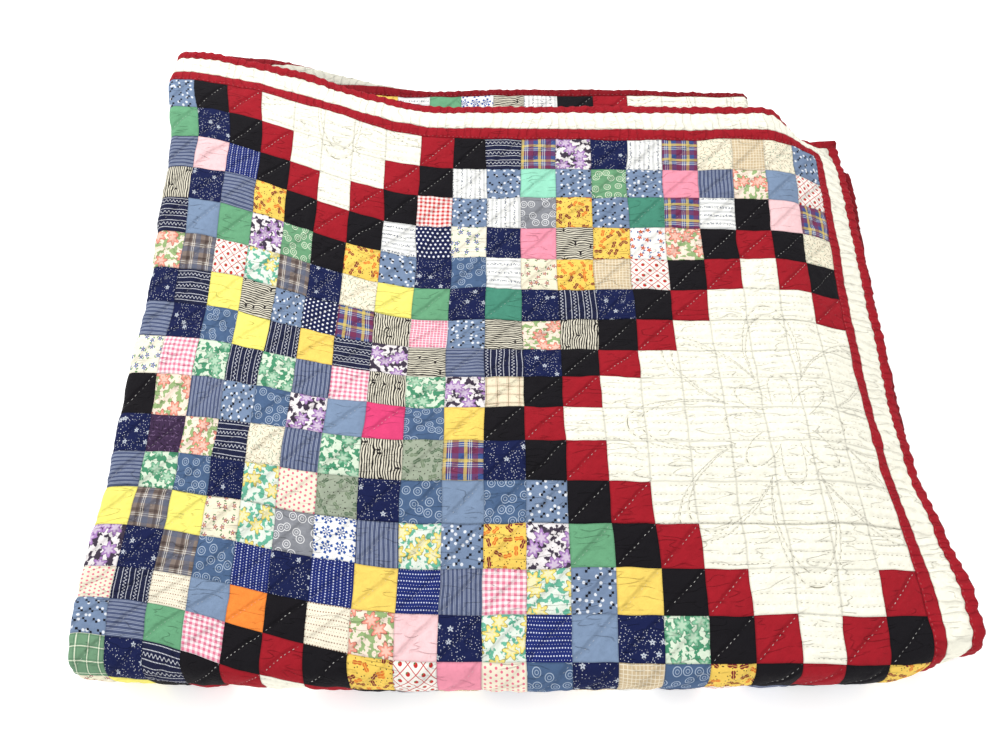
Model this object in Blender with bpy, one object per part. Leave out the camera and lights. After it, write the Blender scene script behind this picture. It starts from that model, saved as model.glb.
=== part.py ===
"""Patchwork quilt, lying folded: one folded cloth, its two inner strips, borders and bindings.

Metres, +Z up. X runs along the longer side of the folded quilt, Y runs from the front roll
to the back edges, and Z is up from the surface that the quilt rests on.
"""
import bisect
import math

import bmesh
import bpy
from mathutils import Vector

# ---------------------------------------------------------------- flat quilt
FLAT_WIDTH = 2.120
FLAT_LENGTH = 1.740
BINDING = 0.0125
BORDER = 0.0255
INNER_STRIP = 0.0128
SEAM_GAP = 0.0003
CLOTH = 0.0040

# ---------------------------------------------------------------- folded stack
PITCH = 0.0072
REST_Z = CLOTH / 2.0
RIGHT_EDGE_X = 0.4165
LEFT_FOLD_START = 0.800
LEFT_FOLD_X = -0.3656
TIGHTEN_FROM = 0.600
TIGHTEN = 0.0895
RIGHT_FOLD_X = 0.2778
ROW_ZERO = 0.6032
FRONT_CENTRE = -0.0150
FRONT_REACH = 0.0120
FRONT_SQUARE = 2.5
MIDDLE_Y = 0.0500
TUCK_END_Y = 0.0150
BACK_CENTRE = 0.5850
BACK_REACH = 0.0166
RIDGE_Y = 0.6430
RIDGE_RADIUS = 0.0120
RIDGE_BOW = 0.0080
RIDGE_BOW_X = 0.060
RIDGE_BOW_RUN = 0.260
HANG = 0.075
LEAN_START = 0.060
LEAN_RUN = 0.310
SKEW_BACK = 0.075
SKEW_FRONT = 0.037
SKEW_SLIDE = 0.090
SLIP_BACK = 0.078
SLIP_FRONT = 0.025
SLIDE_RUN = 0.460
SLIP_RIGHT = 0.002
DROOP_X = 0.285
DROOP_RUN = 0.1315
CORNER_Y = 0.545
CORNER_RUN = 0.085
BACK_DROP = 0.0060
BACK_DROP_Y = 0.565
BACK_DROP_RUN = 0.050
REAR_ROUND = 0.045
REAR_ROUND_X = 0.310
REAR_ROUND_RUN = 0.110
CORNER_EASE = 0.080
ROUND_X = 0.330
ROUND_RUN = 0.090
ROUND_BACK = 0.020
STEP = 0.008
TURN_STEPS = 60
TINY = 0.00001

# height of the top layer along the depth: (y, z)
TOP_HEIGHTS = (
    (-0.015, 0.0610),
    (0.030, 0.0630),
    (0.100, 0.0680),
    (0.171, 0.0740),
    (0.240, 0.0680),
    (0.320, 0.0605),
    (0.400, 0.0605),
    (0.500, 0.0680),
    (0.600, 0.0780),
    (0.900, 0.0800),
)
# height of the top layer at its drooping right edge: (y, z)
EDGE_HEIGHTS = (
    (0.000, 0.0550),
    (0.030, 0.0500),
    (0.100, 0.0350),
    (0.170, 0.0250),
    (0.250, 0.0185),
    (0.900, 0.0185),
)
# how far the cloth is eased toward the back along its length: (v, slip)
ROW_EASE = (
    (0.000, 0.0095),
    (0.130, 0.0010),
    (0.279, -0.0020),
    (0.432, 0.0080),
    (0.622, 0.0000),
)
# and how far further at the left side: (v, slip)
LEFT_EASE = (
    (0.050, 0.002),
    (0.250, 0.012),
    (0.320, 0.012),
    (0.460, -0.008),
    (0.560, 0.003),
    (0.660, 0.026),
)
# how far the right side swings in and out along the depth: (y, x)
RIGHT_SWING = (
    (-0.050, 0.003),
    (0.060, 0.008),
    (0.170, 0.003),
    (0.320, 0.004),
    (0.600, 0.014),
)
# how far the left side swings in and out along the depth: (y, x)
LEFT_SWING = (
    (-0.050, 0.008),
    (0.040, 0.002),
    (0.155, 0.010),
    (0.300, 0.002),
    (0.550, -0.006),
    (0.660, -0.024),
    (0.900, -0.026),
)

# ---------------------------------------------------------------- stations of the cloth
STACK_X = (-0.345, -0.290, -0.230, -0.170, -0.100, -0.020, 0.080, 0.190)
OVERHANG_X = (0.265, 0.300, 0.325, 0.350)
TOP_V = (0.072, 0.100)
BOTTOM_V = (0.075,)
RUN_PARTS = (0.12, 0.30, 0.50, 0.68, 0.84, 0.94)
FRONT_TURN_PARTS = (0.0, 0.14, 0.28, 0.42, 0.58, 0.72, 0.86, 1.0)
LOWER_PARTS = (0.05, 0.22, 0.42, 0.60, 0.78, 0.94)
BACK_TURN_PARTS = (0.0, 0.18, 0.34, 0.50, 0.66, 0.82, 1.0)
TUCKED_PARTS = (0.10, 0.35, 0.65)

FABRICS = {
    "patch_cotton": ((0.42, 0.40, 0.42), 0.92),
    "red_cotton": ((0.40, 0.016, 0.028), 0.88),
    "cream_cotton": ((0.86, 0.83, 0.70), 0.92),
}


def smooth(value):
    """Ease from 0 to 1."""
    value = min(1.0, max(0.0, value))
    return value * value * (3.0 - 2.0 * value)


def along(table, place):
    """Read a short table of (place, value), easing between its rows."""
    if place <= table[0][0]:
        return table[0][1]
    for low, high in zip(table, table[1:]):
        if place <= high[0]:
            part = smooth((place - low[0]) / (high[0] - low[0]))
            return low[1] + (high[1] - low[1]) * part
    return table[-1][1]


def lean(x):
    """How far the left part of the quilt is skewed toward the back, 0 to 1."""
    return smooth((-x - LEAN_START) / LEAN_RUN)


def across(u):
    """Where the first fold puts a lengthwise thread: its x, and its sheet.

    Sheet is 1 for the upper panel, -1 for the middle panel and 0 for the tucked panel.
    """
    if u <= LEFT_FOLD_START:
        return RIGHT_EDGE_X - u + TIGHTEN * max(0.0, u - TIGHTEN_FROM), 1.0
    u -= LEFT_FOLD_START
    if u <= math.pi * PITCH:
        angle = u / PITCH
        return LEFT_FOLD_X - PITCH * math.sin(angle), math.cos(angle)
    u -= math.pi * PITCH
    run = RIGHT_FOLD_X - LEFT_FOLD_X
    if u <= run:
        return LEFT_FOLD_X + u, -1.0
    u -= run
    radius = PITCH / 2.0
    if u <= math.pi * radius:
        angle = u / radius
        return RIGHT_FOLD_X + radius * math.sin(angle), -0.5 - 0.5 * math.cos(angle)
    return RIGHT_FOLD_X - (u - math.pi * radius), 0.0


def droop(x, y):
    """How far the overhanging right side has come down, 0 to 1."""
    side = max(0.0, x - DROOP_X) / DROOP_RUN
    corner = smooth((x - DROOP_X) / CORNER_EASE) * max(0.0, y - CORNER_Y) / CORNER_RUN
    whole = min(1.0, math.hypot(side, corner))
    return (whole * whole + smooth(whole)) / 2.0


def drawn_in(x, drop):
    """How far a run that comes down by the given drop is drawn in sideways."""
    side = min(1.0, max(0.0, x - DROOP_X) / DROOP_RUN)
    return -0.55 * drop * drop / DROOP_RUN * smooth(side)


def level_a(x, y, sheet):
    """Height of the upper run of a sheet."""
    high = along(TOP_HEIGHTS, y)
    high -= BACK_DROP * smooth((y - BACK_DROP_Y - SKEW_BACK * lean(x)) / BACK_DROP_RUN)
    low = along(EDGE_HEIGHTS, y)
    return high - (high - low) * droop(x, y) - PITCH + PITCH * sheet


def level_b(sheet):
    """Height of the lower run of a sheet, which rests on the surface."""
    return REST_Z + PITCH - PITCH * sheet


def level_c(x, y, sheet):
    """Height of the tucked-in run of a sheet."""
    return REST_Z + 4.0 * PITCH * (1.0 - droop(x, y)) + PITCH * sheet


def half_turn(centre, top, bottom, reach, square):
    """Points of a rounded turn between two runs, as (y, z, sideways); top and bottom are (z, sideways)."""
    middle = (top[0] + bottom[0]) / 2.0
    half = (top[0] - bottom[0]) / 2.0
    points = []
    for index in range(1, TURN_STEPS):
        angle = math.pi * index / TURN_STEPS
        out = math.sin(angle) ** (2.0 / square)
        rise = abs(math.cos(angle)) ** (2.0 / square)
        rise = math.copysign(rise, math.cos(angle))
        sideways = top[1] + (bottom[1] - top[1]) * smooth(index / TURN_STEPS)
        points.append((centre + reach * out, middle + half * rise, sideways))
    return points


def steps(start, end):
    """Even places from start to end."""
    count = max(1, round(abs(end - start) / STEP))
    return [start + (end - start) * index / count for index in range(count + 1)]


def upper_run(x, start, end, sheet):
    """Points along the upper run, as (y, z, sideways)."""
    points = []
    for y in steps(start, end):
        drop = along(TOP_HEIGHTS, y) - along(EDGE_HEIGHTS, y)
        points.append((y, level_a(x, y, sheet), drawn_in(x, drop)))
    return points


def section(x, sheet):
    """The line of the second fold at one lengthwise thread.

    Gives the distances along it, its (y, z, sideways) points, and the distances where the
    front and back turns begin and end.
    """
    lean_here = lean(x)
    bow = smooth(1.0 - abs(x - RIDGE_BOW_X) / RIDGE_BOW_RUN)
    ridge = RIDGE_Y + SKEW_BACK * lean_here + RIDGE_BOW * bow + 0.3 * max(0.0, sheet)
    ridge_radius = RIDGE_RADIUS + PITCH * sheet
    ridge_centre = ridge - RIDGE_RADIUS
    back = upper_run(x, MIDDLE_Y, ridge_centre, sheet)
    ridge_z = back[-1][1]
    ridge_in = back[-1][2]
    for index in range(1, TURN_STEPS // 2 + 1):
        angle = math.pi * index / TURN_STEPS
        y = ridge_centre + ridge_radius * math.sin(angle)
        back.append((y, ridge_z - ridge_radius * (1.0 - math.cos(angle)), ridge_in))
    back.append((back[-1][0], back[-1][1] - HANG, ridge_in))

    front = 0.009 * (x / 0.38) ** 2 + FRONT_CENTRE + ROUND_BACK * smooth((x - ROUND_X) / ROUND_RUN)
    points = upper_run(x, MIDDLE_Y, front, sheet)
    marks = [len(points) - 1]
    low = (level_b(sheet), 0.0)
    turn = half_turn(front, points[-1][1:], low, -FRONT_REACH - PITCH * sheet, FRONT_SQUARE)
    points.extend(turn)
    marks.append(len(points))
    rear = BACK_CENTRE + SKEW_BACK * lean_here - REAR_ROUND * smooth((x - REAR_ROUND_X) / REAR_ROUND_RUN)
    points.extend((y, low[0], 0.0) for y in steps(front, rear))
    marks.append(len(points) - 1)
    in_tuck = drawn_in(x, 4.0 * PITCH)
    top = (level_c(x, rear, sheet), in_tuck)
    turn = half_turn(rear, top, low, BACK_REACH + PITCH * sheet, 2.0)
    points.extend(reversed(turn))
    marks.append(len(points))
    points.extend((y, level_c(x, y, sheet), in_tuck) for y in steps(rear, TUCK_END_Y))

    line = list(reversed(back[1:])) + points
    distances = [0.0]
    for first, second in zip(line, line[1:]):
        distances.append(distances[-1] + math.dist(first[:2], second[:2]))
    zero = distances[len(back) - 1] + MIDDLE_Y
    distances = [distance - zero for distance in distances]
    return distances, line, [distances[len(back) - 1 + mark] for mark in marks]


def slide(x, sheet, v):
    """How far the cloth has slipped toward the back at this place."""
    lean_here = lean(x)
    other = min(1.0, 1.0 - sheet)
    if x < -0.36:
        other = 1.0
    at_back = -SLIP_RIGHT * (1.0 - other) * smooth((x - 0.02) / 0.30)
    at_back += SKEW_SLIDE * lean_here + SLIP_BACK * (1.0 - lean_here) * other
    at_front = SKEW_FRONT * lean_here + SLIP_FRONT * (1.0 - lean_here) * other
    return at_back + (at_front - at_back) * smooth(v / SLIDE_RUN) + along(ROW_EASE, v) + lean_here * along(LEFT_EASE, v)


def place(u, v, cache):
    """Where one point of the flat quilt lies in the folded quilt."""
    x, sheet = across(u)
    if u not in cache:
        cache[u] = section(x, sheet)
    distances, line, marks = cache[u]
    want = v - ROW_ZERO - slide(x, sheet, v)
    index = min(max(bisect.bisect_right(distances, want), 1), len(distances) - 1)
    part = (want - distances[index - 1]) / (distances[index] - distances[index - 1])
    y = line[index - 1][0] + (line[index][0] - line[index - 1][0]) * part
    z = line[index - 1][1] + (line[index][1] - line[index - 1][1]) * part
    sideways = line[index - 1][2] + (line[index][2] - line[index - 1][2]) * part
    swing = along(LEFT_SWING, y) * smooth((-x - 0.20) / 0.165)
    shear = along(RIGHT_SWING, y) * smooth(x / 0.25)
    return Vector((x + swing + shear + sideways, y, z))


def spread(start, end, parts):
    """Places between start and end at the given fractions."""
    return [start + (end - start) * part for part in parts]


def threads_down(u, cache):
    """The stations along one lengthwise thread, gathered where the cloth turns."""
    x, sheet = across(u)
    if u not in cache:
        cache[u] = section(x, sheet)
    begin, end, back_begin, back_end = (
        mark + ROW_ZERO + slide(x, sheet, FLAT_LENGTH) for mark in cache[u][2]
    )
    stations = list(TOP_V)
    stations.extend(spread(TOP_V[-1], begin, RUN_PARTS))
    stations.extend(spread(begin, end, FRONT_TURN_PARTS))
    stations.extend(spread(end, back_begin, LOWER_PARTS))
    stations.extend(spread(back_begin, back_end, BACK_TURN_PARTS))
    stations.extend(spread(back_end, FLAT_LENGTH - BOTTOM_V[0], TUCKED_PARTS))
    stations.extend(FLAT_LENGTH - place for place in BOTTOM_V)
    return stations


def threads_across():
    """The stations across the quilt, at the same places in all three panels."""
    panel_1 = []
    for x in sorted(STACK_X + OVERHANG_X, reverse=True):
        u = RIGHT_EDGE_X - x
        if u > TIGHTEN_FROM:
            u = TIGHTEN_FROM + (u - TIGHTEN_FROM) / (1.0 - TIGHTEN)
        panel_1.append(u)
    turn_1 = math.pi * PITCH
    panel_2_start = LEFT_FOLD_START + turn_1
    turn_2_start = panel_2_start + RIGHT_FOLD_X - LEFT_FOLD_X
    turn_2 = math.pi * PITCH / 2.0
    stations = panel_1
    stations.extend(spread(LEFT_FOLD_START, panel_2_start, (0.0, 0.25, 0.5, 0.75, 1.0)))
    stations.extend(panel_2_start + x - LEFT_FOLD_X for x in STACK_X)
    stations.extend(spread(turn_2_start, turn_2_start + turn_2, (0.0, 0.34, 0.66, 1.0)))
    stations.extend(turn_2_start + turn_2 + RIGHT_FOLD_X - x for x in reversed(STACK_X[1:]))
    return stations


def facing(u, v, cache):
    """The outward direction of the quilt's right side at one point."""
    small = 0.0006
    run_u = place(u + small, v, cache) - place(u - small, v, cache)
    run_v = place(u, v + small, cache) - place(u, v - small, cache)
    return run_u.cross(run_v).normalized()


def fabric(name, kind):
    """A plain woven cotton of one kind."""
    colour, roughness = FABRICS[kind]
    material = bpy.data.materials.new(name)
    material.use_nodes = True
    shader = material.node_tree.nodes["Principled BSDF"]
    shader.inputs["Base Color"].default_value = (*colour, 1.0)
    shader.inputs["Roughness"].default_value = roughness
    return material


def sheet_piece(name, kind, u_places, v_seams, cache):
    """A closed piece of cloth between the given seams of the flat quilt."""
    mesh_data = bmesh.new()
    upper = []
    lower = []
    for u in u_places:
        upper_row = []
        lower_row = []
        v_places = v_seams
        if v_seams[-1] - v_seams[0] > FLAT_LENGTH / 2.0:
            above = [v for v in v_seams if v < FLAT_LENGTH / 2.0]
            v_places = above + threads_down(u, cache) + v_seams[len(above):]
        for v in v_places:
            middle = place(u, v, cache)
            outward = facing(u, v, cache) * (CLOTH / 2.0)
            upper_row.append(mesh_data.verts.new(middle + outward))
            lower_row.append(mesh_data.verts.new(middle - outward))
        upper.append(upper_row)
        lower.append(lower_row)
    last_u = len(u_places) - 1
    last_v = len(upper[0]) - 1
    for i in range(last_u):
        for j in range(last_v):
            face = (upper[i][j], upper[i + 1][j], upper[i + 1][j + 1], upper[i][j + 1])
            mesh_data.faces.new(face).smooth = True
            face = (lower[i][j], lower[i][j + 1], lower[i + 1][j + 1], lower[i + 1][j])
            mesh_data.faces.new(face).smooth = True
    for i in range(last_u):
        mesh_data.faces.new((upper[i][0], lower[i][0], lower[i + 1][0], upper[i + 1][0]))
        mesh_data.faces.new((upper[i][last_v], upper[i + 1][last_v], lower[i + 1][last_v], lower[i][last_v]))
    for j in range(last_v):
        mesh_data.faces.new((upper[0][j], upper[0][j + 1], lower[0][j + 1], lower[0][j]))
        mesh_data.faces.new((upper[last_u][j], lower[last_u][j], lower[last_u][j + 1], upper[last_u][j + 1]))
    bmesh.ops.recalc_face_normals(mesh_data, faces=mesh_data.faces)
    mesh = bpy.data.meshes.new(name)
    mesh_data.to_mesh(mesh)
    mesh_data.free()
    mesh.materials.append(fabric(name + "_cloth", kind))
    piece = bpy.data.objects.new(name, mesh)
    bpy.context.scene.collection.objects.link(piece)
    return piece


def main():
    """Make the patchwork field and, round it, the inner strips, borders and bindings."""
    for old in list(bpy.data.objects):
        bpy.data.objects.remove(old, do_unlink=True)
    rings = (
        ("binding", "red_cotton", 0.0, BINDING),
        ("border", "cream_cotton", BINDING, BINDING + BORDER),
        ("inner_strip", "red_cotton", BINDING + BORDER, BINDING + BORDER + INNER_STRIP),
    )
    seams = [0.0]
    for name, kind, outer, inner in rings:
        seams.extend((inner, inner + SEAM_GAP))
    cache = {}
    threads = threads_across()
    all_u = seams + threads + [FLAT_WIDTH - seam for seam in reversed(seams)]
    all_v = seams + [FLAT_LENGTH - seam for seam in reversed(seams)]
    field_u = [seams[-1]] + threads + [FLAT_WIDTH - seams[-1]]
    field_v = [seams[-1], FLAT_LENGTH - seams[-1]]
    pieces = [sheet_piece("patchwork_field", "patch_cotton", field_u, field_v, cache)]
    for name, kind, outer, inner in rings:
        near = outer + (SEAM_GAP if outer else 0.0)
        within = inner + SEAM_GAP
        long_u = [u for u in all_u if near - TINY < u < FLAT_WIDTH - near + TINY]
        short_v = [v for v in all_v if within - TINY < v < FLAT_LENGTH - within + TINY]
        sides = (
            ("top", long_u, [near, inner]),
            ("bottom", long_u, [FLAT_LENGTH - inner, FLAT_LENGTH - near]),
            ("right", [near, inner], short_v),
            ("left", [FLAT_WIDTH - inner, FLAT_WIDTH - near], short_v),
        )
        for side, u_places, v_places in sides:
            pieces.append(sheet_piece(name + "_" + side, kind, u_places, v_places, cache))
    low = Vector((min(v.co[axis] for p in pieces for v in p.data.vertices) for axis in range(3)))
    high = Vector((max(v.co[axis] for p in pieces for v in p.data.vertices) for axis in range(3)))
    centre = (low + high) / 2.0
    for piece in pieces:
        for vertex in piece.data.vertices:
            vertex.co.x -= centre.x
            vertex.co.y -= centre.y
            vertex.co.z -= low.z


main()
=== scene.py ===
"""Folded patchwork quilt: pieced squares, striped border, hand quilting and the folded drape."""

import math

import bpy
import numpy as np
from bpy.props import FloatProperty, FloatVectorProperty, PointerProperty
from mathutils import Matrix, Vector


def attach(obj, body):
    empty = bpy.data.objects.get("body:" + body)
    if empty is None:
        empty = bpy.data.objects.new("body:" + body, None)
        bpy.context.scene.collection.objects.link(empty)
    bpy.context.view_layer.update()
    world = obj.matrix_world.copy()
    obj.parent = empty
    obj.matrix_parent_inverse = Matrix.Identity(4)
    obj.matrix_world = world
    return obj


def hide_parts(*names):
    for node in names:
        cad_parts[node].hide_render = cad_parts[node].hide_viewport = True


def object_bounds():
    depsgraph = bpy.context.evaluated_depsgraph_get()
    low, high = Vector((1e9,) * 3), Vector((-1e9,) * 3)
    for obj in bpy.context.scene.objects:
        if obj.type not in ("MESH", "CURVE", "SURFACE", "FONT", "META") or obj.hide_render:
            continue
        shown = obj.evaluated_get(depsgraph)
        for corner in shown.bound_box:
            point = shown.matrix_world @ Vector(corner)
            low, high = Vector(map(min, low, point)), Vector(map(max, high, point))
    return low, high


bl_info = {
    "name": "Folded patchwork quilt",
    "version": (1, 0, 0),
    "blender": (4, 5, 0),
    "location": "View3D > Sidebar > Quilt",
    "description": "Builds a folded patchwork quilt with its border, cloths and hand quilting",
    "category": "Object",
}

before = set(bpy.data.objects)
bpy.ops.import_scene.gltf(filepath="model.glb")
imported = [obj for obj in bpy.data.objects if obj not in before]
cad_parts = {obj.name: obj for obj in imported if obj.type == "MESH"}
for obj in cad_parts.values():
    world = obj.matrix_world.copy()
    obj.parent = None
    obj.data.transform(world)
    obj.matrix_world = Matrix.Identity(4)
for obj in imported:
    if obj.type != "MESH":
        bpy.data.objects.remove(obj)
CAD_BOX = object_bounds()

# ---- flat quilt, in metres
FLAT_WIDTH = 2.120
FLAT_LENGTH = 1.740
BINDING = 0.0125
BORDER = 0.0255
INNER_STRIP = 0.0128
EDGE = BINDING + BORDER + INNER_STRIP
COLUMNS = 53
ROWS = 43
CELL_U = (FLAT_WIDTH - 2.0 * EDGE) / COLUMNS
CELL_V = (FLAT_LENGTH - 2.0 * EDGE) / ROWS
CLOTH = 0.0040

# ---- folded stack, as the solids have it
PITCH = 0.0072
REST_Z = CLOTH / 2.0
RIGHT_EDGE_X = 0.4165
LEFT_FOLD_START = 0.800
LEFT_FOLD_X = -0.3656
TIGHTEN_FROM = 0.600
TIGHTEN = 0.0895
RIGHT_FOLD_X = 0.2778
ROW_ZERO = 0.6032
FRONT_CENTRE = -0.0150
FRONT_REACH = 0.0120
FRONT_SQUARE = 2.5
MIDDLE_Y = 0.0500
TUCK_END_Y = 0.0150
BACK_CENTRE = 0.5850
BACK_REACH = 0.0166
RIDGE_Y = 0.6430
RIDGE_RADIUS = 0.0120
RIDGE_BOW = 0.0080
RIDGE_BOW_X = 0.060
RIDGE_BOW_RUN = 0.260
HANG = 0.075
LEAN_START = 0.060
LEAN_RUN = 0.310
SKEW_BACK = 0.075
SKEW_FRONT = 0.037
SKEW_SLIDE = 0.090
SLIP_BACK = 0.078
SLIP_FRONT = 0.025
SLIDE_RUN = 0.460
SLIP_RIGHT = 0.002
DROOP_X = 0.285
DROOP_RUN = 0.1315
CORNER_Y = 0.545
CORNER_RUN = 0.085
CORNER_EASE = 0.080
BACK_DROP = 0.0060
BACK_DROP_Y = 0.565
BACK_DROP_RUN = 0.050
REAR_ROUND = 0.045
REAR_ROUND_X = 0.310
REAR_ROUND_RUN = 0.110
ROUND_X = 0.330
ROUND_RUN = 0.090
ROUND_BACK = 0.020
STEP = 0.004

# upper surface: y, height
TOP_HEIGHTS = (
    (-0.015, 0.0610), (0.030, 0.0630), (0.100, 0.0680), (0.171, 0.0740),
    (0.240, 0.0680), (0.320, 0.0605), (0.400, 0.0605), (0.500, 0.0680),
    (0.600, 0.0780), (0.900, 0.0800),
)
# the same at the right edge
EDGE_HEIGHTS = (
    (0.000, 0.0550), (0.030, 0.0500), (0.100, 0.0350), (0.170, 0.0250),
    (0.250, 0.0185), (0.900, 0.0185),
)
# slip of the rows: flat length v, toward the back; the second only where the quilt leans
ROW_EASE = (
    (0.000, 0.0095), (0.130, 0.0010), (0.279, -0.0020), (0.432, 0.0080),
    (0.622, 0.0000),
)
LEFT_EASE = (
    (0.050, 0.002), (0.250, 0.012), (0.320, 0.012), (0.460, -0.008),
    (0.560, 0.003), (0.660, 0.026),
)
# sideways sway of the right part and of the left fold: y, x
RIGHT_SWING = (
    (-0.050, 0.003), (0.060, 0.008), (0.170, 0.003), (0.320, 0.004),
    (0.600, 0.014),
)
LEFT_SWING = (
    (-0.050, 0.008), (0.040, 0.002), (0.155, 0.010), (0.300, 0.002),
    (0.550, -0.006), (0.660, -0.024), (0.900, -0.026),
)

# ---- the layout of the squares
DIAMOND_CREAM = 5
DIAMOND_RED = 6
DIAMOND_BLACK = 7
DIAMOND_STEP = 12
FIRST_ROW = 9
FIRST_COLUMN = 2

# ---- hand quilting and the look of the cloth
LINE_PITCH = 0.0086
STITCH = 0.0048
STITCH_SHARE = 0.36
CREASE_SHADE = 0.17
WEAVE = 95.0
BUMP_STRENGTH = 0.75
BUMP_HEIGHT = 0.0020
ROUGHNESS = 0.80
GLOSS = 0.12
SCRAP_FADE = 0.16
SCRAP_THREAD = 0.35
PLAIN_THREAD = 0.8
SHADED_THREAD = (158, 152, 132)
PALE_FROM = 0.3
PETALS = 8
PETAL_OUTLINES = (0.150, 0.138, 0.060)
PETAL_IN = 0.42
GROOVE_SHARE = 0.085
PUCKER = 0.0105
EDGE_ROUND = 0.0032

# unevenness of the washed cloth: share of the rumple, size of the bumps, seed
RUMPLES = ((1.0, 0.026, 1), (0.75, 0.0105, 2), (0.4, 0.006, 8))

# soft creases of the top: from (u, v) to (u, v), half width, height
CREASES = (
    (0.060, 0.100, 0.300, 0.150, 0.012, 0.0016),
    (0.380, 0.090, 0.700, 0.060, 0.016, 0.0018),
    (0.520, 0.230, 0.780, 0.330, 0.014, -0.0016),
    (0.100, 0.330, 0.420, 0.300, 0.016, -0.0018),
    (0.640, 0.420, 0.790, 0.560, 0.012, 0.0020),
    (0.080, 0.480, 0.260, 0.610, 0.013, 0.0017),
    (0.330, 0.520, 0.560, 0.640, 0.015, -0.0015),
    (0.020, 0.250, 0.110, 0.360, 0.010, 0.0018),
    (0.700, 0.150, 0.790, 0.300, 0.012, 0.0018),
    (0.250, 0.640, 0.620, 0.670, 0.012, 0.0016),
)

# ---- pieces of the patchwork
# name, columns from and to, rows from and to
FIELD_PIECES = (
    ("patchwork_back", 0, 21, 0, 6),
    ("patchwork_middle", 0, 21, 6, 12),
    ("patchwork_front", 0, 21, 12, 19),
    ("patchwork_under", 0, 21, 19, 43),
    ("patchwork_second_panel", 21, 37, 0, 43),
    ("patchwork_third_panel", 37, 53, 0, 43),
)
FINE_COLUMNS = 21
FINE_ROWS = 19
FINE = 16
COARSE = 9
UNDERSIDE_EVERY = 4
BINDING_STEPS = (0.0, 0.0006, 0.0015, 0.0030, 0.0050, 0.0075, 0.0100)
RINGS = (
    ("binding", 0.0, BINDING),
    ("border", BINDING, BINDING + BORDER),
    ("inner_strip", BINDING + BORDER, EDGE),
)
SCRAP_SEED = 7

# ---- stage
CAMERA_PLACE = (0.0, -0.139, 0.8052)
CAMERA_DOWN = 62.0
LIGHT_PLACE = (-1.1, 1.3, 1.9)
FLOOR_HALF = 20.0
FLOOR_GAP = 0.0006


def smooth(value):
    """Ease from 0 to 1."""
    value = np.clip(value, 0.0, 1.0)
    return value * value * (3.0 - 2.0 * value)


def along(table, place):
    """Read a short table of (place, value), easing between its rows."""
    place = np.asarray(place, dtype=float)
    result = np.full(place.shape, table[0][1])
    for low, high in zip(table, table[1:]):
        part = smooth((place - low[0]) / (high[0] - low[0]))
        result = np.where(place > low[0], low[1] + (high[1] - low[1]) * part, result)
    return result


def lean(x):
    """How far the left part of the quilt is skewed toward the back, 0 to 1."""
    return float(smooth((-x - LEAN_START) / LEAN_RUN))


def across(u):
    """Where the first fold puts a lengthwise thread: its x, and its sheet.

    Sheet is 1 for the upper panel, -1 for the middle panel and 0 for the tucked panel.
    """
    if u <= LEFT_FOLD_START:
        return RIGHT_EDGE_X - u + TIGHTEN * max(0.0, u - TIGHTEN_FROM), 1.0
    u -= LEFT_FOLD_START
    if u <= math.pi * PITCH:
        angle = u / PITCH
        return LEFT_FOLD_X - PITCH * math.sin(angle), math.cos(angle)
    u -= math.pi * PITCH
    run = RIGHT_FOLD_X - LEFT_FOLD_X
    if u <= run:
        return LEFT_FOLD_X + u, -1.0
    u -= run
    radius = PITCH / 2.0
    if u <= math.pi * radius:
        angle = u / radius
        return RIGHT_FOLD_X + radius * math.sin(angle), -0.5 - 0.5 * math.cos(angle)
    return RIGHT_FOLD_X - (u - math.pi * radius), 0.0


def droop(x, y):
    """How far the overhanging right side has come down, 0 to 1."""
    side = max(0.0, x - DROOP_X) / DROOP_RUN
    corner = float(smooth((x - DROOP_X) / CORNER_EASE)) * np.maximum(0.0, y - CORNER_Y) / CORNER_RUN
    whole = np.minimum(1.0, np.hypot(side, corner))
    return (whole * whole + smooth(whole)) / 2.0


def drawn_in(x, drop):
    """How far a run that comes down by the given drop is drawn in sideways."""
    side = min(1.0, max(0.0, x - DROOP_X) / DROOP_RUN)
    return -0.55 * drop * drop / DROOP_RUN * smooth(side)


def level_a(x, y, sheet):
    """Height of the upper run of a sheet."""
    high = along(TOP_HEIGHTS, y)
    high = high - BACK_DROP * smooth((y - BACK_DROP_Y - SKEW_BACK * lean(x)) / BACK_DROP_RUN)
    low = along(EDGE_HEIGHTS, y)
    return high - (high - low) * droop(x, y) - PITCH + PITCH * sheet


def level_b(sheet):
    """Height of the lower run of a sheet, which rests on the surface."""
    return REST_Z + PITCH - PITCH * sheet


def level_c(x, y, sheet):
    """Height of the tucked-in run of a sheet."""
    return REST_Z + 4.0 * PITCH * (1.0 - droop(x, y)) + PITCH * sheet


def half_turn(centre, top, bottom, reach, square):
    """A rounded turn between two runs: rows of (y, z, sideways), top and bottom as (z, sideways)."""
    angle = np.pi * np.arange(1, 40) / 40.0
    out = np.sin(angle) ** (2.0 / square)
    rise = np.sign(np.cos(angle)) * np.abs(np.cos(angle)) ** (2.0 / square)
    height = (top[0] + bottom[0]) / 2.0 + (top[0] - bottom[0]) / 2.0 * rise
    sideways = top[1] + (bottom[1] - top[1]) * smooth(angle / np.pi)
    return np.column_stack((centre + reach * out, height, sideways))


def steps(start, end):
    """Even places from start to end."""
    return np.linspace(start, end, max(1, round(abs(end - start) / STEP)) + 1)


def upper_run(x, y, sheet):
    """Rows of (y, z, sideways) along the upper run."""
    drop = along(TOP_HEIGHTS, y) - along(EDGE_HEIGHTS, y)
    return np.column_stack((y, level_a(x, y, sheet), drawn_in(x, drop)))


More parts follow.
